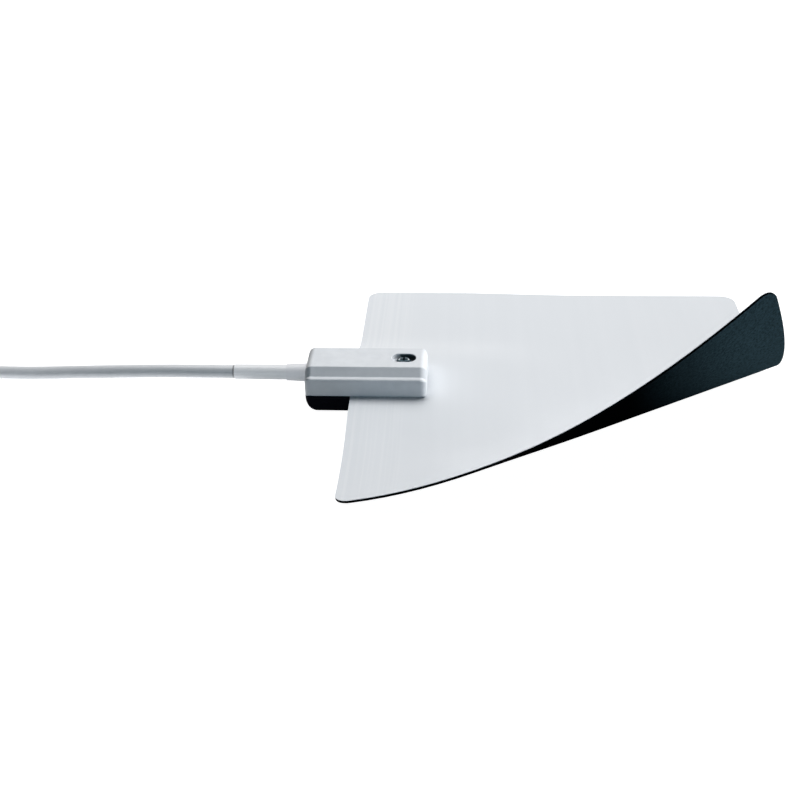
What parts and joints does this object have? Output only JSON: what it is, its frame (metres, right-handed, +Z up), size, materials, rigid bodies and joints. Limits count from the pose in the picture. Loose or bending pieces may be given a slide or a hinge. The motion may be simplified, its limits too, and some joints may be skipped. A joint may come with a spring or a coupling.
{
  "type": "flat indoor tv antenna",
  "caption": "Thin square indoor TV antenna sheet, white face and black back, a corner curled up, with a clamped bevelled balun housing and a coaxial cable to a push-on plug.",
  "frame": {"origin": "under the middle of the antenna (sheet, housing, bush and sleeve, without the loose cable), on the table it lies on", "axes": "+X from the cable's side towards the right edge of the sheet, +Y towards the back edge of the sheet, +Z up from the table"},
  "size_m": [0.4576, 0.247, 0.0813],
  "materials": {
    "white_film": "satin white film",
    "black_sheet": "matt black with a fine grain",
    "foil": "bright foil",
    "cover_grey": "satin light grey",
    "cover_black": "satin black",
    "screw_steel": "bright zinc",
    "board": "green laminate",
    "ferrite": "matt sintered grey",
    "copper": "bright copper",
    "contact_brass": "bright",
    "bush_grey": "satin grey",
    "sleeve_grey": "satin grey heat-shrink",
    "cable_grey": "satin pale grey jacket",
    "braid": "braided wire",
    "dielectric": "milky white",
    "tie_black": "matt black band",
    "plug_grey": "moulded pale grey",
    "plug_nickel": "bright nickel"
  },
  "bodies": {
    "root": {"face_film": "white_film", "back_sheet": "black_sheet", "radiator_foil_front": "foil", "radiator_foil_rear": "foil", "upper_cover": "cover_grey", "lower_cover": "cover_black", "clamp_screw": "screw_steel", "balun_board": "board", "balun_core": "ferrite", "balun_winding": "copper", "contact_spring_front": "contact_brass", "contact_spring_rear": "contact_brass", "cable_bush": "bush_grey", "cable_sleeve": "sleeve_grey", "cable_inlet": "cable_grey", "cable_braid": "braid", "cable_dielectric": "dielectric", "cable_conductor": "copper", "shield_ferrule": "contact_brass", "cable_run": "cable_grey", "cable_coil": "cable_grey", "coil_tie": "tie_black", "cable_tail": "cable_grey", "plug_body": "plug_grey", "plug_shell": "plug_nickel", "plug_insulator": "dielectric", "plug_pin": "plug_nickel"}
  },
  "joints": []
}
